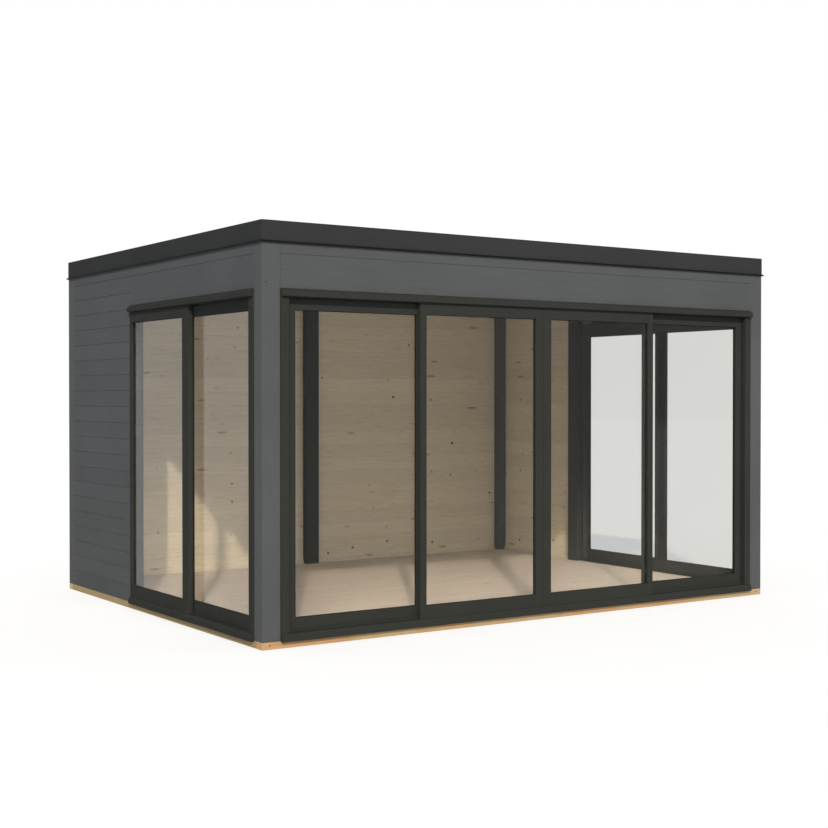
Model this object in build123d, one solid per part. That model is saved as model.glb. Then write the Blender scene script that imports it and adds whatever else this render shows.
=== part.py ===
"""Garden cabin with a flat roof and sliding glass doors on three sides.

Millimetres. The origin lies on the ground under the middle of the cabin.
+X runs to the right along the front, +Y to the back and +Z up, so the front faces -Y.
"""
from build123d import *
import os

# Overall size, between the outer faces of the walls
cabin_width = 4210
cabin_depth = 3200
cabin_height = 2520

# Base and floor
bearer_height = 44
bearer_width = 70
joist_width = 44
joist_count = 7
floor_thickness = 20
skirting_height = 30
skirting_thickness = 15

# Walls and posts
wall_thickness = 44
corner_post_width = 122
front_post_depth = 103
rear_post_depth = 120
inner_post_width = 122
inner_post_depth = 62
inner_post_gap = 20

# Flat roof, laid on top of the walls
rafter_width = 45
rafter_height = 100
rafter_count = 7
deck_thickness = 18
covering_thickness = 5
fascia_thickness = 28
fascia_reach = 2
drip_thickness = 5
drip_reach = 12
drip_seam = 0.5

# Frames of the door openings
side_door_width = 1867
header_height = 273
frame_reach = 8
jamb_width = 56
side_lining_width = 18
head_height = 47
head_trim_height = 46
head_trim_reach = 30
head_trim_slope = 18
head_trim_undercut = 3
sill_height = 47
sill_drop = 6
sill_reach = 24
sill_slope = 14

# Glazed sashes, the fixed ones in front and the sliding ones behind them
front_fixed_width = 993
side_fixed_width = 952
sash_thickness = 32
sash_clearance = 6
panel_joint = 2
closing_stile_width = 56
meeting_stile_width = 48
side_meeting_width = 97
side_sash_stile_width = 28
side_lap_setback = 20
centre_stile_width = 66
side_stile_width = 16
top_rail_height = 74
bottom_rail_height = 83
glass_thickness = 6
glass_setback = 16
track_width = 8
track_height = 6
running_clearance = 0.3

# One overrun for all cuts
cut_overrun = 10

# Levels
half_width = cabin_width / 2
half_depth = cabin_depth / 2
wall_bottom = bearer_height
floor_top = bearer_height + floor_thickness
fascia_height = rafter_height + deck_thickness + covering_thickness
wall_top = cabin_height - fascia_height
rafter_top = wall_top + rafter_height
deck_top = rafter_top + deck_thickness
frame_top = wall_top - header_height
head_bottom = frame_top - head_height
sill_bottom = wall_bottom - sill_drop
sill_top = sill_bottom + sill_height
glass_bottom = sill_top + bottom_rail_height
glass_top = head_bottom - top_rail_height
sliding_bottom = sill_top + track_height + running_clearance
sliding_top = head_bottom - track_height - running_clearance

# Depths into a wall, counted from its outer face
frame_face = -frame_reach
fixed_back = frame_face + sash_thickness
sliding_face = fixed_back + sash_clearance
sliding_back = sliding_face + sash_thickness
frame_back = sliding_back + sash_clearance
track_face = (sliding_face + sliding_back - track_width) / 2
inner_post_back = wall_thickness + inner_post_depth

# Places along the walls
front_opening = half_width - corner_post_width
front_daylight = front_opening - jamb_width
side_near = front_post_depth - half_depth
side_far = side_near + side_door_width
side_near_jamb = side_near + jamb_width
side_far_jamb = side_far - side_lining_width
side_post_near = side_far + inner_post_gap
side_post_far = side_post_near + inner_post_width
rear_post_face = half_depth - rear_post_depth

# The head trims reach further than the drip strips, so the walls lie behind the origin
centre_shift = (max(head_trim_reach, drip_reach) - drip_reach) / 2


def block(x0, x1, y0, y1, z0, z1):
    """A box between two corners, given in any order."""
    middle = Pos((x0 + x1) / 2, (y0 + y1) / 2 + centre_shift, (z0 + z1) / 2)
    return middle * Box(abs(x1 - x0), abs(y1 - y0), abs(z1 - z0))


def in_wall(wall, along, depth, height):
    """A box set in a wall: its ends along the wall, its depths and its levels."""
    if wall == "front":
        return block(*along, *(d - half_depth for d in depth), *height)
    if wall == "back":
        return block(*along, *(half_depth - d for d in depth), *height)
    side = 1 if wall == "right" else -1
    return block(*(side * (half_width - d) for d in depth), *along, *height)


def moulding(wall, along, outline):
    """A bar along a wall, with an outline of depths and levels."""
    profile = make_face(Polyline(*outline, close=True))
    bar = extrude(Plane.YZ * profile, along[1] - along[0])
    if wall == "front":
        return Pos(along[0], centre_shift - half_depth, 0) * bar
    left = Pos(-half_width, along[1] + centre_shift, 0) * Rot(0, 0, -90) * bar
    return left if wall == "left" else mirror(left, Plane.YZ)


def save(name, solids):
    """Write one node. Its solids stand apart from each other."""
    shape = solids[0] if len(solids) == 1 else Compound(children=list(solids))
    shape.label = name
    export_step(shape, os.path.join("parts", name + ".step"))


def mirrored(solids):
    """The solids of the left side, with their twins on the right."""
    return [twin for solid in solids for twin in (solid, mirror(solid, Plane.YZ))]


# Base and floor

def build_base():
    level = (0, bearer_height)
    bearer = (0, bearer_width)
    ends = (-half_width, half_width)
    save("base_bearers_long", [in_wall(wall, ends, bearer, level) for wall in ("front", "back")])
    between = (bearer_width - half_depth, half_depth - bearer_width)
    save("base_bearers_side", [in_wall(wall, between, bearer, level) for wall in ("left", "right")])
    inner_half = half_width - bearer_width
    pitch = 2 * inner_half / (joist_count + 1)
    joists = []
    for number in range(joist_count):
        centre = pitch * (number + 1) - inner_half
        columns = (centre - joist_width / 2, centre + joist_width / 2)
        joists.append(block(*columns, *between, *level))
    save("floor_joists", joists)


def build_floor():
    inner_x = half_width - wall_thickness
    inner_y = half_depth - wall_thickness
    deck = block(-inner_x, inner_x, -inner_y, inner_y, wall_bottom, floor_top)
    cut_level = (wall_bottom - cut_overrun, floor_top + cut_overrun)
    for side in (-1, 1):
        post_x = (side * (half_width - corner_post_width), side * (half_width + cut_overrun))
        deck -= block(*post_x, side_near, -half_depth - cut_overrun, *cut_level)
        deck -= block(*post_x, rear_post_face, half_depth + cut_overrun, *cut_level)
    save("floor_deck", [deck])
    depth = (wall_thickness, wall_thickness + skirting_thickness)
    level = (floor_top, floor_top + skirting_height)
    strips = mirrored([
        in_wall("back", (-front_opening, -inner_post_width / 2), depth, level),
        in_wall("left", (side_post_far, rear_post_face), depth, level),
    ])
    save("skirting", strips)


# Posts, walls and headers

def build_posts():
    level = (wall_bottom, wall_top)
    front_rows = (-half_depth, side_near)
    rear_rows = (rear_post_face, half_depth)
    for end, rows in (("front", front_rows), ("rear", rear_rows)):
        for hand, side in (("left", -1), ("right", 1)):
            columns = (side * front_opening, side * half_width)
            save(f"{end}_{hand}_post", [block(*columns, *rows, *level)])
    depth = (wall_thickness, inner_post_back)
    inner_level = (floor_top, wall_top)
    middle = (-inner_post_width / 2, inner_post_width / 2)
    save("back_inner_post", [in_wall("back", middle, depth, inner_level)])
    beside_door = (side_post_near, side_post_far)
    save("side_inner_posts", [in_wall(wall, beside_door, depth, inner_level) for wall in ("left", "right")])


def build_walls():
    depth = (0, wall_thickness)
    full = (wall_bottom, wall_top)
    over_door = (frame_top, wall_top)
    between_posts = (-front_opening, front_opening)
    save("back_wall", [in_wall("back", between_posts, depth, full)])
    save("front_header", [in_wall("front", between_posts, depth, over_door)])
    for wall in ("left", "right"):
        save(f"{wall}_wall", [in_wall(wall, (side_far, rear_post_face), depth, full)])
        save(f"{wall}_header", [in_wall(wall, (side_near, side_far), depth, over_door)])


# Roof

def build_roof():
    outer_x = half_width + fascia_reach
    outer_y = half_depth + fascia_reach
    inner_x = outer_x - fascia_thickness
    inner_y = outer_y - fascia_thickness
    board = (-fascia_reach, fascia_thickness - fascia_reach)
    level = (wall_top, cabin_height)
    save("long_fascias", [in_wall(wall, (-outer_x, outer_x), board, level) for wall in ("front", "back")])
    save("side_fascias", [in_wall(wall, (-inner_y, inner_y), board, level) for wall in ("left", "right")])

    lip = (-drip_reach, -fascia_reach)
    lip_level = (wall_top, wall_top + drip_thickness)
    lip_x = half_width + drip_reach
    lip_y = outer_y - drip_seam
    strips = [in_wall(wall, (-lip_x, lip_x), lip, lip_level) for wall in ("front", "back")]
    strips += [in_wall(wall, (-lip_y, lip_y), lip, lip_level) for wall in ("left", "right")]
    save("drip_strips", strips)

    pitch = 2 * inner_x / (rafter_count + 1)
    rafters = []
    for number in range(rafter_count):
        centre = pitch * (number + 1) - inner_x
        columns = (centre - rafter_width / 2, centre + rafter_width / 2)
        rafters.append(block(*columns, -inner_y, inner_y, wall_top, rafter_top))
    save("rafters", rafters)
    save("roof_deck", [block(-inner_x, inner_x, -inner_y, inner_y, rafter_top, deck_top)])
    save("roof_covering", [block(-inner_x, inner_x, -inner_y, inner_y, deck_top, cabin_height)])


# Door frames

def build_sill(wall, along):
    """A threshold that steps over the floor's edge, with a sloped nose over the base."""
    nose_top = sill_top - sill_slope
    return moulding(wall, along, [
        (-sill_reach, sill_bottom), (0, sill_bottom), (0, wall_bottom), (wall_thickness, wall_bottom),
        (wall_thickness, floor_top), (frame_back, floor_top), (frame_back, sill_top), (frame_face, sill_top),
        (-sill_reach, nose_top),
    ])


def build_head_trim(wall, along):
    """A drip moulding over the head: sloped on top, cut back under its nose."""
    bottom = frame_top - head_trim_height
    nose_top = frame_top - head_trim_slope
    return moulding(wall, along, [
        (frame_face, bottom), (frame_face, frame_top), (-head_trim_reach, nose_top),
        (-head_trim_reach, bottom + head_trim_undercut), (head_trim_undercut - head_trim_reach, bottom),
    ])


def build_frames():
    spans = {
        "front": (-front_opening, front_opening),
        "left": (side_near, side_far),
        "right": (side_near, side_far),
    }
    end_jambs = {"front": jamb_width, "left": side_lining_width, "right": side_lining_width}
    depth = (frame_face, frame_back)
    opening = (sill_top, head_bottom)
    jambs = {wall: [] for wall in spans}
    heads, sills, trims, tracks = [], [], [], []
    for wall, (start, end) in spans.items():
        clear = (start + jamb_width, end - end_jambs[wall])
        jambs[wall].append(in_wall(wall, (start, clear[0]), depth, opening))
        jambs[wall].append(in_wall(wall, (clear[1], end), depth, opening))
        heads.append(in_wall(wall, (start, end), depth, (head_bottom, frame_top)))
        sills.append(build_sill(wall, (start, end)))
        trims.append(build_head_trim(wall, (start, end)))
        track = (track_face, track_face + track_width)
        tracks.append(in_wall(wall, clear, track, (sill_top, sill_top + track_height)))
        tracks.append(in_wall(wall, clear, track, (head_bottom - track_height, head_bottom)))
    save("front_jambs", jambs["front"])
    save("side_jambs", jambs["left"] + jambs["right"])
    save("door_heads", heads)
    save("door_sills", sills)
    save("door_head_trims", trims)
    save("door_tracks", tracks)


# Sashes

def sash(wall, span, stiles, face, level):
    """Stiles, rails and pane of one sash that spans a stretch of the wall."""
    depth = (face, face + sash_thickness)
    pane_depth = (face + glass_setback, face + glass_setback + glass_thickness)
    start, end = span
    pane = (start + stiles[0], end - stiles[1])
    bottom, top = level
    return {
        "stiles": [
            in_wall(wall, (start, pane[0]), depth, level),
            in_wall(wall, (pane[1], end), depth, level),
        ],
        "rails": [
            in_wall(wall, pane, depth, (bottom, glass_bottom)),
            in_wall(wall, pane, depth, (glass_top, top)),
        ],
        "glass": [in_wall(wall, pane, pane_depth, (glass_bottom, glass_top))],
    }


def save_sash(name, sashes):
    for piece in ("stiles", "rails", "glass"):
        save(f"{name}_{piece}", [solid for one in sashes for solid in one[piece]])


def build_sashes():
    fixed_level = (sill_top, head_bottom)
    sliding_level = (sliding_bottom, sliding_top)

    meeting = front_fixed_width - meeting_stile_width
    shut = front_daylight - sash_clearance
    fixed = sash("front", (-front_fixed_width, -panel_joint / 2),
                 (meeting_stile_width, centre_stile_width - panel_joint / 2), frame_face, fixed_level)
    sliding = sash("front", (-shut, -meeting),
                   (closing_stile_width, meeting_stile_width), sliding_face, sliding_level)
    twins = [{piece: [mirror(solid, Plane.YZ) for solid in one[piece]] for piece in one}
             for one in (fixed, sliding)]
    save_sash("front_fixed", [fixed, twins[0]])
    save_sash("front_left_sash", [sliding])
    save_sash("front_right_sash", [twins[1]])

    side_meeting = side_far_jamb - side_fixed_width
    side_fixed = []
    for wall in ("left", "right"):
        side_fixed.append(sash(wall, (side_meeting, side_far_jamb),
                               (side_meeting_width, side_stile_width), frame_face, fixed_level))
        side_span = (side_near_jamb + sash_clearance, side_meeting + side_meeting_width - side_lap_setback)
        save_sash(f"{wall}_sash", [sash(wall, side_span, (closing_stile_width, side_sash_stile_width),
                                        sliding_face, sliding_level)])
    save_sash("side_fixed", side_fixed)


os.makedirs("parts", exist_ok=True)
build_base()
build_floor()
build_posts()
build_walls()
build_roof()
build_frames()
build_sashes()
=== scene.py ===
import bmesh
import bpy
import math
import random
from mathutils import Matrix, Vector


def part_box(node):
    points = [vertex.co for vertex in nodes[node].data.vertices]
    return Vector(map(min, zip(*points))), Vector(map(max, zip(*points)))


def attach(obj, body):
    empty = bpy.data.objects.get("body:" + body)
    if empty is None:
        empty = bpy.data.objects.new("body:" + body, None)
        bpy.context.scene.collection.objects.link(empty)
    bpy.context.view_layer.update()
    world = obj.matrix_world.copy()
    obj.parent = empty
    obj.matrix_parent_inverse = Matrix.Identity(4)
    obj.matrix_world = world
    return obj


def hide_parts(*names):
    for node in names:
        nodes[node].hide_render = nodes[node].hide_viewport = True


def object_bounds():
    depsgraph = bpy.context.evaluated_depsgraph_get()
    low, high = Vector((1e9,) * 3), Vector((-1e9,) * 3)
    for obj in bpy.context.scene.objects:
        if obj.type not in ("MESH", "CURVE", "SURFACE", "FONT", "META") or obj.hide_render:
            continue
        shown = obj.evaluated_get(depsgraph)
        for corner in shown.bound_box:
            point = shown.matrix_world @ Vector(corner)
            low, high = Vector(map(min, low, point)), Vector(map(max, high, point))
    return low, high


# The cabin's frame: metres, +X along the front, +Y to the back, +Z up
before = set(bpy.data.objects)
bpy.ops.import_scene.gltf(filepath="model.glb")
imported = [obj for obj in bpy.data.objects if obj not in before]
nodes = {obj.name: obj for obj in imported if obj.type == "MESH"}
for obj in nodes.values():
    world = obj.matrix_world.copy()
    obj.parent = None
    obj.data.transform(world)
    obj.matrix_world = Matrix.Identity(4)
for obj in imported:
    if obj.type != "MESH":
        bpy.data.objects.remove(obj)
cad_low, cad_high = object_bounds()
SEED = 7
random.seed(SEED)

# Camera, solved from the photograph's straight edges
CAMERA_FROM_CORNER = Vector((-3.8052, -7.2627, 1.4856))
CAMERA_YAW = math.radians(33.864)
CAMERA_PITCH = math.radians(0.7029)
CAMERA_LENS = 60.72
CAMERA_SENSOR = 36.0
CAMERA_REACH = 200.0

# Light: a low key from the front left and an even surround
SUN_AZIMUTH = math.radians(31.0)
SUN_ELEVATION = math.radians(32.6)
SUN_STRENGTH = 2.38
SUN_ANGLE = math.radians(1.4)
SUN_COLOUR = (1.0, 0.865, 0.71)
SURROUND_LEVEL = 0.54
SURROUND_COLOUR = (0.79, 0.895, 1.0)
BACKDROP_LEVEL = 1.0
GROUND_REACH = 60.0
GROUND_GLOW = 0.61
GROUND_SHOWN = (0.50, 0.50, 0.50)
GROUND_PALE = (0.80, 0.80, 0.80)
GROUND_ROUGHNESS = 0.9
WHITE = (1.0, 1.0, 1.0)

# Timber sizes
BOARD_PITCH = 0.11425
BOARD_EDGE = 0.003
FLOOR_BOARD = 0.096
FLOOR_EDGE = 0.0008
CEILING_BOARD = 0.112
CEILING_EDGE = 0.002
JOINERY_EDGE = 0.002
POST_EDGE = 0.003
SAWN_EDGE = 0.002
METAL_EDGE = 0.001
EDGE_SEGMENTS = 2
WELD_REACH = 0.0001
SAME_POINT_DIGITS = 5
# A board's face is bare when it looks further away from the outside than this
BARE_TURN = -0.2

# Small fittings
GASKET_WIDTH = 0.003
GASKET_DEPTH = 0.0015
GASKET_EDGE = GASKET_DEPTH / 4
NAIL_RADIUS = 0.0048
NAIL_RISE = 0.001
NAIL_SEGMENTS = 14
NAIL_RINGS = 8
POST_NAIL = (0.025, 2.158)
BEARER_NAIL = (0.050, 0.024)
COVER_DEPTH = 0.012
COVER_DROP = 0.020
BAR_DEPTH = 0.006
BAR_RISE = 0.016
BAR_EDGE = 0.001
LAP_WIDTH = 0.080
LAP_RISE = 0.002
LAP_EDGE = 0.0008
SHEET_WIDTH = 1.0
CAPPING_WIDTH = 0.036
CAPPING_RISE = 0.002
CAPPING_EDGE = 0.0006
# Drip lip: real flashing below the drip strips that also serves as painted shade on the wall top
LIP_DEPTH = 0.003
LIP_DROP = 0.006
LIP_EDGE = 0.0005

# Colours, linear
ANTHRACITE = (0.097, 0.104, 0.110)
POST_ANTHRACITE = (0.1045, 0.112, 0.1185)
DOOR_GREY = (0.042, 0.045, 0.0415)
FASCIA_BLACK = (0.045, 0.047, 0.049)
# Trim coat: near-black, so that the drip lips also read as painted shade under the drip
TRIM_BLACK_AND_SHADE = (0.011, 0.0115, 0.012)
TREATED_LIGHT = (0.66, 0.42, 0.22)
TREATED_DARK = (0.52, 0.30, 0.14)
# Side timber: olive tones, darker than the long bearers, partly as painted shade from the side door sills
# above
SHADED_OLIVE_LIGHT = (0.47, 0.34, 0.18)
SHADED_OLIVE_DARK = (0.37, 0.26, 0.12)
WORN_TAN = (0.50, 0.42, 0.24)
WORN_AND_SHADED_OLIVE = (0.32, 0.29, 0.15)
WALL_PINE_LIGHT = (0.765, 0.705, 0.57)
WALL_PINE_DARK = (0.685, 0.615, 0.48)
FLOOR_PINE_LIGHT = (0.675, 0.615, 0.555)
FLOOR_PINE_DARK = (0.595, 0.53, 0.46)
KNOT_BROWN = (0.10, 0.06, 0.03)
FLECK_TINT = (0.64, 0.575, 0.45)
FELT_BLACK = (0.028, 0.029, 0.031)
RUBBER_BLACK = (0.012, 0.012, 0.012)
NAIL_GREY = (0.014, 0.013, 0.012)
# Running tracks: near-black, partly as painted shade in the gap under the sliding sashes
TRACK_BLACK_AND_SHADE = (0.022, 0.022, 0.022)
GLASS_TINT = (0.828, 0.828, 0.815)

# Surfaces. A noise is given as scale, detail and distortion, and a ramp as places with their shares.
# A roughness range is added to the surface's own roughness.
TONE_SHIFT = 53.0
PAINT_STRETCH = 0.05
PAINT_FIBRES = (95.0, 5.0)
PAINT_PATCHES = (1.7, 3.0)
PAINT_TONE = 0.30
PAINT_SHADES = ((0.25, 0.93), (0.80, 1.08))
PAINT_STREAKS = ((0.30, 0.93), (0.62, 1.0))
PAINT_ROUGHNESS = (-0.06, 0.08)
PAINT_SHINE = 0.0
PAINT_GRAIN = 0.0004
PAINT_GRAIN_SHARE = 0.15
WALL_ROUGHNESS = 0.6
JOINERY_ROUGHNESS = 0.5

WOOD_STRETCH = 0.045
WOOD_BANDS = (24.0, 2.0, 0.4)
WOOD_RINGS = 46.0
WOOD_FIBRES = (160.0, 4.0)
WOOD_FIBRE_SHARE = 0.55
WOOD_LIGHT_PLACE = 0.20
WOOD_DARK_PLACE = 0.85
WOOD_TONE = 0.99
WOOD_DASHES = (230.0, 1.0)
WOOD_DASH_SHADES = ((0.65, 1.0), (0.73, 0.72))
WOOD_WEAR = (2.1, 2.0)
WOOD_WEAR_SHADES = ((0.40, 0.0), (0.62, 0.7))
WOOD_ROUGHNESS = (-0.05, 0.07)
WOOD_SHINE = 0.25
WOOD_GRAIN = 0.0003
WOOD_GRAIN_SHARE = 0.4
TREATED_ROUGHNESS = 0.75
TREATED_KNOTS = 0.1

KNOT_SCALE = 4.6
KNOT_SIZES = (0.034, 0.082)
KNOT_WOBBLE = (110.0, 3.0)
KNOT_RAGGED = 0.02
KNOT_EDGE = 0.022
KNOT_DEPTHS = (0.35, 1.0)
FLECK_SCALE = 6.5
FLECK_STRETCH = 0.22
FLECK_SHARE = 1.3
FLECK_SIZES = (0.06, 0.115)
FLECK_WOBBLE = (30.0, 3.0)
FLECK_RAGGED = 0.04
FLECK_EDGE = 0.04

COAT_CLOUD = (2.3, 2.0)
COAT_CLOUD_SHARE = 0.4
COAT_PLACES = (0.35, 0.65)
COAT_ROUGHNESS = (-0.06, 0.06)
GLASS_CLOUD = (0.8, 1.0)
GLASS_SHADES = ((0.3, 0.985), (0.7, 1.0))
GLASS_IOR = 1.21

# A Mix node's sockets for colours
MIX_FACTOR, MIX_FIRST, MIX_SECOND, MIX_RESULT = 0, 6, 7, 2

OUTWARD = {"front": Vector((0, -1, 0)), "back": Vector((0, 1, 0)),
           "left": Vector((-1, 0, 0)), "right": Vector((1, 0, 0))}


# Node helpers

def new_material(name):
    """A material with one Principled node, and its tree."""
    made = bpy.data.materials.new(name)
    made.use_nodes = True
    tree = made.node_tree
    return made, tree, tree.nodes["Principled BSDF"]


def feed(tree, socket, value):
    """Links a socket to another one, or sets its plain value."""
    if isinstance(value, bpy.types.NodeSocket):
        tree.links.new(value, socket)
    elif isinstance(value, tuple) and socket.type == "RGBA":
        socket.default_value = (*value, 1.0)
    else:
        socket.default_value = value


def add_node(tree, kind, inputs=None, **settings):
    """A shader node with its settings, and its inputs as links or plain values."""
    made = tree.nodes.new("ShaderNode" + kind)
    for key, value in settings.items():
        setattr(made, key, value)
    for socket, value in (inputs or {}).items():
        feed(tree, made.inputs[socket], value)
    return made


def scaled(colour, share):
    return tuple(share * part for part in colour)


def shades(colour, stops):
    """Stops for a ramp: shares of one colour at their places."""
    return [(place, scaled(colour, share)) for place, share in stops]


def ramp(tree, source, stops):
    """A colour ramp over a value, with two (place, colour) stops."""
    made = add_node(tree, "ValToRGB", {0: source})
    for element, (place, colour) in zip(made.color_ramp.elements, stops):
        element.position = place
        element.color = (*colour, 1.0)
    return made.outputs["Color"]


def mixed(tree, factor, first, second, blend="MIX"):
    """Mixes two colours by a factor."""
    inputs = {MIX_FACTOR: factor, MIX_FIRST: first, MIX_SECOND: second}
    return add_node(tree, "Mix", inputs, data_type="RGBA", blend_type=blend).outputs[MIX_RESULT]


def multiplied(tree, first, second):
    """One colour times another."""
    return mixed(tree, 1.0, first, second, "MULTIPLY")


def combined(tree, operation, first, second=0.0, third=0.0):
    """The result of a maths node."""
    return add_node(tree, "Math", {0: first, 1: second, 2: third}, operation=operation).outputs[0]


def spread(tree, value, lowest, highest):
    """Maps a value from 0 to 1 onto a range."""
    inputs = {"Value": value, "To Min": lowest, "To Max": highest}
    return add_node(tree, "MapRange", inputs).outputs["Result"]


def roughened(tree, shader, value, roughness, extent):
    """A roughness that varies with a value around its middle."""
    lowest, highest = extent
    feed(tree, shader.inputs["Roughness"], spread(tree, value, roughness + lowest, roughness + highest))


def noise(tree, place, scale, detail=3.0, distortion=0.0):
    inputs = {"Vector": place, "Scale": scale, "Detail": detail, "Distortion": distortion}
    return add_node(tree, "TexNoise", inputs).outputs["Fac"]


def bump(tree, shader, height, distance, strength=1.0):
    made = add_node(tree, "Bump", {"Height": height, "Distance": distance, "Strength": strength})
    feed(tree, shader.inputs["Normal"], made.outputs["Normal"])


def two_shaders(tree, factor, first, second, output):
    """Shows one of two shaders by a factor."""
    both = add_node(tree, "MixShader", {0: factor, 1: first.outputs[0], 2: second.outputs[0]})
    feed(tree, tree.nodes[output].inputs["Surface"], both.outputs[0])


def board_space(tree, axis, stretch):
    """Object coordinates, drawn out along the grain and shifted by each board's own tone."""
    place = add_node(tree, "TexCoord").outputs["Object"]
    tone = add_node(tree, "Attribute", attribute_name="tone").outputs["Fac"]
    shift = combined(tree, "MULTIPLY", tone, TONE_SHIFT)
    moved = add_node(tree, "VectorMath", {0: place, 1: shift}, operation="ADD").outputs[0]
    scale = [1.0, 1.0, 1.0]
    scale["XYZ".index(axis)] = stretch
    drawn = add_node(tree, "VectorMath", {0: moved, 1: scale}, operation="MULTIPLY").outputs[0]
    return drawn, place, tone


def scattered(tree, along, across, scale, share, sizes, wobble, ragged, edge):
    """Soft spots in a share of random cells: their cover, and one more random number for each."""
    flat = add_node(tree, "CombineXYZ", {0: along, 1: across}).outputs[0]
    cells = add_node(tree, "TexVoronoi", {"Vector": flat, "Scale": scale}, voronoi_dimensions="2D")
    lot = add_node(tree, "SeparateColor", {0: cells.outputs["Color"]})
    chosen = combined(tree, "GREATER_THAN", lot.outputs[0], 1.0 - share)
    distance = combined(tree, "MULTIPLY_ADD", wobble, ragged, cells.outputs["Distance"])
    inside = combined(tree, "SUBTRACT", spread(tree, lot.outputs[1], *sizes), distance)
    soft = add_node(tree, "MapRange", {"Value": inside, "From Max": edge}).outputs["Result"]
    return combined(tree, "MULTIPLY", soft, chosen), lot.outputs[2]


# Materials

def painted_wood(name, colour, axis, roughness, grain=0.0):
    """Matt paint that still shows the grain a little."""
    made, tree, shader = new_material(name)
    drawn, place, tone = board_space(tree, axis, PAINT_STRETCH)
    fibres = noise(tree, drawn, *PAINT_FIBRES)
    blotch = combined(tree, "MULTIPLY_ADD", tone, PAINT_TONE, noise(tree, place, *PAINT_PATCHES))
    base = ramp(tree, blotch, shades(colour, PAINT_SHADES))
    streaks = ramp(tree, fibres, shades(WHITE, PAINT_STREAKS))
    feed(tree, shader.inputs["Base Color"], multiplied(tree, base, streaks))
    feed(tree, shader.inputs["Specular IOR Level"], PAINT_SHINE)
    roughened(tree, shader, fibres, roughness, PAINT_ROUGHNESS)
    if grain:
        bump(tree, shader, fibres, grain, PAINT_GRAIN_SHARE)
    return made


def natural_wood(name, axis, across, light, dark, knots=0.42, roughness=0.62, wear_and_shade=None, uneven=0.06):
    """Planed softwood: bands of summer growth, fine fibres, soft flecks and small scattered knots."""
    made, tree, shader = new_material(name)
    drawn, place, tone = board_space(tree, axis, WOOD_STRETCH)
    bands = noise(tree, drawn, *WOOD_BANDS)
    rings = combined(tree, "SINE", combined(tree, "MULTIPLY", bands, WOOD_RINGS))
    rings = combined(tree, "MULTIPLY_ADD", rings, 0.5, 0.5)  # from -1..1 to 0..1
    fibres = noise(tree, drawn, *WOOD_FIBRES)
    level = mixed(tree, WOOD_FIBRE_SHARE, rings, fibres)
    base = ramp(tree, level, [(WOOD_LIGHT_PLACE, light), (WOOD_DARK_PLACE, dark)])
    base = multiplied(tree, base, spread(tree, tone, WOOD_TONE - uneven, WOOD_TONE + uneven))
    dashes = ramp(tree, noise(tree, drawn, *WOOD_DASHES), shades(WHITE, WOOD_DASH_SHADES))
    base = multiplied(tree, base, dashes)
    # Patches of a second tone: wear on the long bearers; on the side timber, wear and painted shade
    if wear_and_shade:
        patches = ramp(tree, noise(tree, place, *WOOD_WEAR), shades(WHITE, WOOD_WEAR_SHADES))
        base = mixed(tree, patches, base, wear_and_shade)

    split = add_node(tree, "SeparateXYZ", {0: place})
    along, beside = split.outputs[axis], split.outputs[across]
    drawn_along = combined(tree, "MULTIPLY", along, FLECK_STRETCH)
    fleck = scattered(tree, drawn_along, beside, FLECK_SCALE, FLECK_SHARE * knots, FLECK_SIZES,
                      noise(tree, drawn, *FLECK_WOBBLE), FLECK_RAGGED, FLECK_EDGE)[0]
    base = multiplied(tree, base, mixed(tree, fleck, WHITE, FLECK_TINT))
    knot, lot = scattered(tree, along, beside, KNOT_SCALE, knots, KNOT_SIZES,
                          noise(tree, place, *KNOT_WOBBLE), KNOT_RAGGED, KNOT_EDGE)
    knot = combined(tree, "MULTIPLY", knot, spread(tree, lot, *KNOT_DEPTHS))
    feed(tree, shader.inputs["Base Color"], mixed(tree, knot, base, KNOT_BROWN))
    feed(tree, shader.inputs["Specular IOR Level"], WOOD_SHINE)
    roughened(tree, shader, fibres, roughness, WOOD_ROUGHNESS)
    bump(tree, shader, fibres, WOOD_GRAIN, WOOD_GRAIN_SHARE)
    return made


def speckled(name, colour, roughness, scale, variation, depth, gloss=0.3):
    """A finely mottled coating, such as roofing grit, rubber or powder coat."""
    made, tree, shader = new_material(name)
    place = add_node(tree, "TexCoord").outputs["Object"]
    grit = noise(tree, place, scale)
    cloud = noise(tree, place, *COAT_CLOUD)
    level = mixed(tree, COAT_CLOUD_SHARE, grit, cloud)
    stops = shades(colour, zip(COAT_PLACES, (1.0 - variation, 1.0 + variation)))
    feed(tree, shader.inputs["Base Color"], ramp(tree, level, stops))
    feed(tree, shader.inputs["Specular IOR Level"], gloss)
    roughened(tree, shader, cloud, roughness, COAT_ROUGHNESS)
    bump(tree, shader, grit, depth)
    return made


def clear_glass(name):
    """Lightly tinted glass that lets the lamps through, with a faint unevenness."""
    made, tree, shader = new_material(name)
    place = add_node(tree, "TexCoord").outputs["Object"]
    tint = ramp(tree, noise(tree, place, *GLASS_CLOUD), shades(GLASS_TINT, GLASS_SHADES))
    feed(tree, shader.inputs["Base Color"], tint)
    feed(tree, shader.inputs["Transmission Weight"], 1.0)
    feed(tree, shader.inputs["IOR"], GLASS_IOR)
    feed(tree, shader.inputs["Roughness"], 0.0)
    clear = add_node(tree, "BsdfTransparent", {"Color": GLASS_TINT})
    shadow_ray = add_node(tree, "LightPath").outputs["Is Shadow Ray"]
    two_shaders(tree, shadow_ray, shader, clear, "Material Output")
    return made


# Geometry helpers

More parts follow.
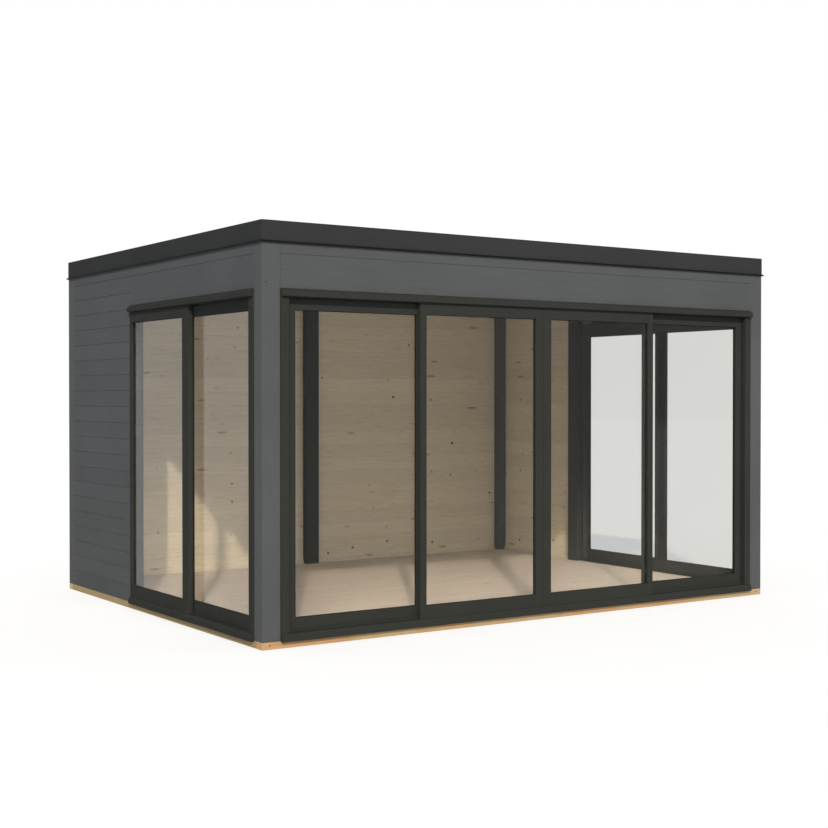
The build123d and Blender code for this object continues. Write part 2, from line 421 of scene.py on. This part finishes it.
def solids(node):
    """The boxes of a node's separate solids, as (lowest, highest) corners."""
    mesh = nodes[node].data
    keys = [tuple(round(c, SAME_POINT_DIGITS) for c in v.co) for v in mesh.vertices]
    parent = {key: key for key in keys}

    def root(key):
        while parent[key] != key:
            key = parent[key]
        return key

    for face in mesh.polygons:
        first = root(keys[face.vertices[0]])
        for index in face.vertices[1:]:
            parent[root(keys[index])] = first
    groups = {}
    for key in parent:
        groups.setdefault(root(key), []).append(key)
    boxes = []
    for group in groups.values():
        columns = list(zip(*group))
        boxes.append((Vector(map(min, columns)), Vector(map(max, columns))))
    return sorted(boxes, key=lambda box: tuple(box[0]))


def lie(low, high):
    """The thin direction of an upright panel or a beam, as 0 or 1, and the axis that it runs along."""
    size = high - low
    return (0, "Y") if size.x < size.y else (1, "X")


def new_bmesh():
    bm = bmesh.new()
    bm.faces.layers.float.new("tone")
    return bm


def add_board(bm, low, high, axis, edge, tone=0.0):
    """A board along an axis with its four long edges chamfered. Returns its faces."""
    run = "XYZ".index(axis)
    first, second = [index for index in range(3) if index != run]
    l1, h1, l2, h2 = low[first], high[first], low[second], high[second]
    outline = [(l1 + edge, l2), (h1 - edge, l2), (h1, l2 + edge), (h1, h2 - edge),
               (h1 - edge, h2), (l1 + edge, h2), (l1, h2 - edge), (l1, l2 + edge)]
    rings = []
    for end in (low[run], high[run]):
        ring = []
        for p1, p2 in outline:
            point = [0.0, 0.0, 0.0]
            point[run], point[first], point[second] = end, p1, p2
            ring.append(bm.verts.new(point))
        rings.append(ring)
    near, far = rings
    count = len(outline)
    faces = [bm.faces.new(near), bm.faces.new(far)]
    for index in range(count):
        after = (index + 1) % count
        faces.append(bm.faces.new((near[index], near[after], far[after], far[index])))
    bmesh.ops.recalc_face_normals(bm, faces=faces)
    layer = bm.faces.layers.float["tone"]
    for face in faces:
        face[layer] = tone
    return faces


def add_border(bm, low, high, width, edge):
    """Four strips just inside a level rectangle, the ones along X over the full length."""
    for near in (low[1], high[1] - width):
        add_board(bm, (low[0], near, low[2]), (high[0], near + width, high[2]), "X", edge)
    front, back = low[1] + width, high[1] - width
    for start in (low[0], high[0] - width):
        add_board(bm, (start, front, low[2]), (start + width, back, high[2]), "Y", edge)


def finish_piece(name, bm, materials, body, replaced=()):
    """Turns a bmesh into a piece of the object."""
    mesh = bpy.data.meshes.new(name)
    bm.to_mesh(mesh)
    bm.free()
    for one in materials:
        mesh.materials.append(one)
    piece = bpy.data.objects.new(name, mesh)
    bpy.context.scene.collection.objects.link(piece)
    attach(piece, body)
    if replaced:
        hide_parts(*replaced)


def finish_node(name, surface, edge=0.0):
    """Gives a carried-over node its material and softened edges."""
    piece = nodes[name]
    piece.data.materials.clear()
    piece.data.materials.append(surface)
    if edge:
        weld = piece.modifiers.new("weld", "WELD")
        weld.merge_threshold = WELD_REACH
        soft = piece.modifiers.new("soft", "BEVEL")
        soft.width = edge
        soft.segments = EDGE_SEGMENTS
        soft.limit_method = "ANGLE"


# Walls, floor and ceiling

def build_wall(node, side, levels, paint, pine):
    """Boards between the given levels, painted outside and bare inside."""
    low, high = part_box(node)
    axis = "X" if side in ("front", "back") else "Y"
    bm = new_bmesh()
    for bottom, top in zip(levels, levels[1:]):
        start = (low.x, low.y, bottom)
        end = (high.x, high.y, top)
        for face in add_board(bm, start, end, axis, BOARD_EDGE, random.random()):
            face.material_index = 0 if face.normal.dot(OUTWARD[side]) > BARE_TURN else 1
    finish_piece(node + "_boards", bm, [paint[axis], pine[axis]], "cabin", [node])


def build_walls(paint, pine):
    """Even courses of boards, and over the doors a board that ends at the header's foot."""
    low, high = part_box("back_wall")
    top = high.z
    courses = [low.z]
    while courses[-1] + BOARD_PITCH < top - BOARD_PITCH / 2:
        courses.append(courses[-1] + BOARD_PITCH)
    courses.append(top)
    over_door = [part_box("front_header")[0].z, courses[-2], top]
    for side in ("back", "left", "right"):
        build_wall(side + "_wall", side, courses, paint, pine)
    for side in ("front", "left", "right"):
        build_wall(side + "_header", side, over_door, paint, pine)


def build_floor(surface):
    """Floor boards along X, cut round the corner posts."""
    low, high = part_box("floor_deck")
    front_left, front_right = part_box("front_left_post"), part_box("front_right_post")
    rows = [low.y, front_left[1].y]
    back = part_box("rear_left_post")[0].y
    while rows[-1] + FLOOR_BOARD < back - FLOOR_BOARD / 2:
        rows.append(rows[-1] + FLOOR_BOARD)
    rows += [back, high.y]
    bm = new_bmesh()
    last = len(rows) - 2
    for number, (near, far) in enumerate(zip(rows, rows[1:])):
        between = number in (0, last)
        start = front_left[1].x if between else low.x
        end = front_right[0].x if between else high.x
        add_board(bm, (start, near, low.z), (end, far, high.z), "X", FLOOR_EDGE, random.random())
    finish_piece("floor_boards", bm, [surface], "cabin", ["floor_deck"])


def build_ceiling(surface):
    """Ceiling boards along X, of equal width."""
    low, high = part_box("roof_deck")
    count = round((high.y - low.y) / CEILING_BOARD)
    bm = new_bmesh()
    for number in range(count):
        near = low.y + (high.y - low.y) * number / count
        far = low.y + (high.y - low.y) * (number + 1) / count
        add_board(bm, (low.x, near, low.z), (high.x, far, high.z), "X", CEILING_EDGE, random.random())
    finish_piece("ceiling_boards", bm, [surface], "cabin", ["roof_deck"])


# Roof

def build_roof(felt, metal):
    """Roofing sheets with lapped seams along X, and a flat capping round the edge."""
    low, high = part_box("roof_covering")
    bm = new_bmesh()
    add_board(bm, low, high, "X", LAP_EDGE)
    seam = low.y + SHEET_WIDTH
    while seam < high.y - LAP_WIDTH:
        base = high.z - LAP_RISE
        add_board(bm, (low.x, seam - LAP_WIDTH, base), (high.x, seam, high.z + LAP_RISE), "X", LAP_EDGE)
        seam += SHEET_WIDTH - LAP_WIDTH
    finish_piece("roof_sheets", bm, [felt], "cabin", ["roof_covering"])

    long_boards, side_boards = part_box("long_fascias"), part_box("side_fascias")
    bottom = long_boards[1].z
    corner = (side_boards[0].x, long_boards[0].y, bottom)
    far_corner = (side_boards[1].x, long_boards[1].y, bottom + CAPPING_RISE)
    bm = new_bmesh()
    add_border(bm, corner, far_corner, CAPPING_WIDTH, CAPPING_EDGE)
    finish_piece("roof_capping", bm, [metal], "cabin")


def build_drip_lips_and_shade(metal):
    """The folded lip that hangs from the outer edge of the drip strips, near-black so that it also serves
    as painted shade on the wall top below the drip.
    """
    low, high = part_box("drip_strips")
    bm = new_bmesh()
    add_border(bm, (low.x, low.y, low.z - LIP_DROP), (high.x, high.y, low.z), LIP_DEPTH, LIP_EDGE)
    finish_piece("drip_lips", bm, [metal], "cabin")


# Small fittings

def build_gaskets(node, body, rubber):
    """Rubber strips round both faces of each pane of a node."""
    bm = new_bmesh()
    for low, high in solids(node):
        thin, axis = lie(low, high)
        run = 1 - thin
        for face in (low[thin] - GASKET_DEPTH, high[thin]):
            for end in (low[run], high[run] - GASKET_WIDTH):
                start, stop = [0.0, 0.0, low.z], [0.0, 0.0, high.z]
                start[thin], stop[thin] = face, face + GASKET_DEPTH
                start[run], stop[run] = end, end + GASKET_WIDTH
                add_board(bm, start, stop, "Z", GASKET_EDGE)
            for level in (low.z, high.z - GASKET_WIDTH):
                start, stop = [0.0, 0.0, level], [0.0, 0.0, level + GASKET_WIDTH]
                start[thin], stop[thin] = face, face + GASKET_DEPTH
                start[run], stop[run] = low[run] + GASKET_WIDTH, high[run] - GASKET_WIDTH
                add_board(bm, start, stop, axis, GASKET_EDGE)
    finish_piece(node.replace("glass", "gaskets"), bm, [rubber], body)


def build_track_covers(paint):
    """Strips on the inside of the door heads that cover the upper tracks."""
    middle = (cad_low + cad_high) / 2
    for low, high in solids("door_heads"):
        thin, axis = lie(low, high)
        start, stop = list(low), list(high)
        start[2] -= COVER_DROP
        if high[thin] < middle[thin]:
            start[thin], stop[thin] = high[thin], high[thin] + COVER_DEPTH
            side = "front" if thin else "left"
        else:
            start[thin], stop[thin] = low[thin] - COVER_DEPTH, low[thin]
            side = "right"
        bm = new_bmesh()
        add_board(bm, start, stop, axis, JOINERY_EDGE)
        finish_piece(side + "_track_cover", bm, [paint[axis]], "cabin")


def foremost(node, side):
    """The box of a node's foremost solid on the left or right side."""
    boxes = [box for box in solids(node) if box[0].x * OUTWARD[side].x > 0]
    return min(boxes, key=lambda box: box[0].y)


def build_sill_bars(paint):
    """Low bars on the sills, outside the sliding sashes, that close the gap under them."""
    low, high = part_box("front_fixed_stiles")
    top = low.z + BAR_RISE
    jambs = solids("front_jambs")
    bm = new_bmesh()
    for start, stop in ((jambs[0][1].x, low.x), (high.x, jambs[-1][0].x)):
        add_board(bm, (start, high.y - BAR_DEPTH, low.z), (stop, high.y, top), "X", BAR_EDGE)
    finish_piece("front_sill_bars", bm, [paint["X"]], "cabin")

    for side in ("left", "right"):
        jamb, fixed = foremost("side_jambs", side), foremost("side_fixed_stiles", side)
        inner = fixed[1].x if side == "left" else fixed[0].x + BAR_DEPTH
        bm = new_bmesh()
        add_board(bm, (inner - BAR_DEPTH, jamb[1].y, low.z), (inner, fixed[0].y, top), "Y", BAR_EDGE)
        finish_piece(side + "_sill_bar", bm, [paint["Y"]], "cabin")


def add_nail(bm, place, side):
    """A low domed nail head on a wall face."""
    turn = OUTWARD[side].to_track_quat("Z", "Y").to_matrix().to_4x4()
    flat = Matrix.Diagonal((NAIL_RADIUS, NAIL_RADIUS, NAIL_RISE, 1.0))
    matrix = Matrix.Translation(place) @ turn @ flat
    foot, tip = [bm.verts.new(matrix @ Vector((0.0, 0.0, end))) for end in (-1.0, 1.0)]
    rings = []
    for level in range(1, NAIL_RINGS):
        polar = math.pi * level / NAIL_RINGS
        reach, height = math.sin(polar), -math.cos(polar)
        turns = [math.tau * step / NAIL_SEGMENTS for step in range(NAIL_SEGMENTS)]
        rings.append([bm.verts.new(matrix @ Vector((-reach * math.sin(t), reach * math.cos(t), height)))
                      for t in turns])
    for step in range(NAIL_SEGMENTS):
        after = (step + 1) % NAIL_SEGMENTS
        bm.faces.new((foot, rings[0][after], rings[0][step]))
        for lower, upper in zip(rings, rings[1:]):
            bm.faces.new((lower[step], lower[after], upper[after], upper[step]))
        bm.faces.new((rings[-1][step], rings[-1][after], tip))


def build_nails(metal):
    """The nails that the photograph shows on a corner post and on the base, on all corners alike."""
    bm = new_bmesh()
    inset, level = POST_NAIL
    base_inset, base_level = BEARER_NAIL
    low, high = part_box("base_bearers_long")
    for side, face in (("front", low.y), ("back", high.y)):
        for end, inward in ((low.x, 1), (high.x, -1)):
            add_nail(bm, Vector((end + inward * inset, face, level)), side)
            add_nail(bm, Vector((end + inward * base_inset, face, base_level)), side)
    finish_piece("nails", bm, [metal], "cabin")


# Stage

def shown_ray(tree):
    """1 for rays that show the background: straight, mirrored or through glass."""
    path = add_node(tree, "LightPath")
    seen = combined(tree, "MAXIMUM", path.outputs["Is Camera Ray"], path.outputs["Is Glossy Ray"])
    return combined(tree, "MAXIMUM", seen, path.outputs["Is Transmission Ray"])


def build_ground():
    """A pale floor that shows white round the object and keeps its shadow."""
    mesh = bpy.data.meshes.new("ground")
    corners = [(-GROUND_REACH, -GROUND_REACH, 0), (GROUND_REACH, -GROUND_REACH, 0),
               (GROUND_REACH, GROUND_REACH, 0), (-GROUND_REACH, GROUND_REACH, 0)]
    mesh.from_pydata(corners, [], [(0, 1, 2, 3)])
    made, tree, shader = new_material("ground_white")
    feed(tree, shader.inputs["Base Color"], GROUND_PALE)
    feed(tree, shader.inputs["Roughness"], GROUND_ROUGHNESS)
    pale = add_node(tree, "BsdfDiffuse", {"Color": GROUND_SHOWN})
    glow = add_node(tree, "Emission", {"Strength": GROUND_GLOW})
    shown = add_node(tree, "AddShader", {0: pale.outputs[0], 1: glow.outputs[0]})
    two_shaders(tree, shown_ray(tree), shader, shown, "Material Output")
    mesh.materials.append(made)
    ground = bpy.data.objects.new("ground", mesh)
    bpy.context.scene.collection.objects.link(ground)


def build_world():
    """An even surround that lights the object, with a white backdrop in sight."""
    world = bpy.data.worlds.new("surround")
    bpy.context.scene.world = world
    world.use_nodes = True
    tree = world.node_tree
    fill = tree.nodes["Background"]
    feed(tree, fill.inputs["Color"], SURROUND_COLOUR)
    feed(tree, fill.inputs["Strength"], SURROUND_LEVEL)
    white = add_node(tree, "Background", {"Color": WHITE, "Strength": BACKDROP_LEVEL})
    two_shaders(tree, shown_ray(tree), fill, white, "World Output")


def build_sun():
    lamp = bpy.data.lights.new("key", "SUN")
    lamp.energy = SUN_STRENGTH
    lamp.angle = SUN_ANGLE
    lamp.color = SUN_COLOUR
    sun = bpy.data.objects.new("key", lamp)
    flat = math.cos(SUN_ELEVATION)
    aim = Vector((math.sin(SUN_AZIMUTH) * flat, math.cos(SUN_AZIMUTH) * flat, -math.sin(SUN_ELEVATION)))
    sun.rotation_mode = "QUATERNION"
    sun.rotation_quaternion = aim.to_track_quat("-Z", "Y")
    bpy.context.scene.collection.objects.link(sun)


def build_camera():
    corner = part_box("front_left_post")[0]
    data = bpy.data.cameras.new("camera")
    data.lens = CAMERA_LENS
    data.sensor_width = CAMERA_SENSOR
    data.clip_end = CAMERA_REACH
    camera = bpy.data.objects.new("camera", data)
    camera.location = Vector((corner.x, corner.y, 0.0)) + CAMERA_FROM_CORNER
    camera.rotation_euler = (math.pi / 2 - CAMERA_PITCH, 0.0, -CAMERA_YAW)
    bpy.context.scene.collection.objects.link(camera)
    bpy.context.scene.camera = camera


# The cabin

def dress_cabin():
    """Makes the materials, builds the added pieces and finishes the carried-over nodes."""
    paint = {axis: painted_wood("wall_paint_" + axis, ANTHRACITE, axis, WALL_ROUGHNESS, PAINT_GRAIN)
             for axis in "XY"}
    post_paint = painted_wood("post_paint", POST_ANTHRACITE, "Z", WALL_ROUGHNESS, PAINT_GRAIN)
    door = {axis: painted_wood("door_paint_" + axis, DOOR_GREY, axis, JOINERY_ROUGHNESS) for axis in "XYZ"}
    fascia = {axis: painted_wood("fascia_paint_" + axis, FASCIA_BLACK, axis, JOINERY_ROUGHNESS)
              for axis in "XY"}
    wall_pine = {axis: natural_wood("wall_pine_" + axis, axis, "Z", WALL_PINE_LIGHT, WALL_PINE_DARK)
                 for axis in "XY"}
    floor_pine = natural_wood("floor_pine", "X", "Y", FLOOR_PINE_LIGHT, FLOOR_PINE_DARK,
                              knots=0.25, uneven=0.03)
    ceiling_pine = natural_wood("ceiling_pine", "X", "Y", FLOOR_PINE_LIGHT, FLOOR_PINE_DARK)
    rafter_pine = natural_wood("rafter_pine", "Y", "Z", FLOOR_PINE_LIGHT, FLOOR_PINE_DARK, knots=0.3)
    treated = natural_wood("treated_pine", "X", "Z", TREATED_LIGHT, TREATED_DARK,
                           TREATED_KNOTS, TREATED_ROUGHNESS, WORN_TAN)
    # The side timber's darker olive is partly painted shade from the side door sills
    olive_with_painted_shade = natural_wood("treated_pine_olive", "Y", "Z", SHADED_OLIVE_LIGHT, SHADED_OLIVE_DARK,
                         TREATED_KNOTS, TREATED_ROUGHNESS, WORN_AND_SHADED_OLIVE)
    glass = clear_glass("pane_glass")
    trim = speckled("trim_coat", TRIM_BLACK_AND_SHADE, roughness=0.55, scale=300.0, variation=0.1, depth=0.00005,
                    gloss=0.03)
    felt = speckled("roof_felt", FELT_BLACK, roughness=0.85, scale=420.0, variation=0.45, depth=0.0008)
    rubber = speckled("pane_rubber", RUBBER_BLACK, roughness=0.7, scale=150.0, variation=0.2, depth=0.0001)
    steel = speckled("nail_steel", NAIL_GREY, roughness=0.5, scale=400.0, variation=0.2, depth=0.00005)
    track = speckled("track_metal", TRACK_BLACK_AND_SHADE, roughness=0.5, scale=200.0, variation=0.1, depth=0.00005)

    build_walls(paint, wall_pine)
    build_floor(floor_pine)
    build_ceiling(ceiling_pine)
    build_roof(felt, trim)
    build_drip_lips_and_shade(trim)
    build_nails(steel)
    build_track_covers(door)
    build_sill_bars(door)
    for node in ("front_left_post", "front_right_post", "rear_left_post", "rear_right_post"):
        finish_node(node, post_paint, POST_EDGE)
    for node in ("back_inner_post", "side_inner_posts"):
        finish_node(node, door["Z"], JOINERY_EDGE)

    sashes = ("front_left_sash", "front_right_sash", "left_sash", "right_sash")
    for name in ("front_fixed", "side_fixed") + sashes:
        along = "X" if name.startswith("front") else "Y"
        finish_node(name + "_stiles", door["Z"], JOINERY_EDGE)
        finish_node(name + "_rails", door[along], JOINERY_EDGE)
        finish_node(name + "_glass", glass)
        build_gaskets(name + "_glass", name if name in sashes else "cabin", rubber)
    for node in ("front_jambs", "side_jambs"):
        finish_node(node, door["Z"], JOINERY_EDGE)
    for node in ("door_heads", "door_sills", "door_head_trims"):
        finish_node(node, door["X"], JOINERY_EDGE)
    finish_node("long_fascias", fascia["X"], POST_EDGE)
    finish_node("side_fascias", fascia["Y"], POST_EDGE)
    finish_node("drip_strips", trim, METAL_EDGE)
    finish_node("base_bearers_long", treated, SAWN_EDGE)
    finish_node("base_bearers_side", olive_with_painted_shade, SAWN_EDGE)
    finish_node("floor_joists", olive_with_painted_shade, SAWN_EDGE)
    finish_node("skirting", wall_pine["X"], JOINERY_EDGE)
    finish_node("rafters", rafter_pine, SAWN_EDGE)
    # The tracks' near-black coat also serves as painted shade in the gap under the sliding sashes
    finish_node("door_tracks", track, METAL_EDGE)


bpy.context.scene.view_settings.view_transform = "Standard"
build_ground()
build_world()
build_sun()
build_camera()
dress_cabin()
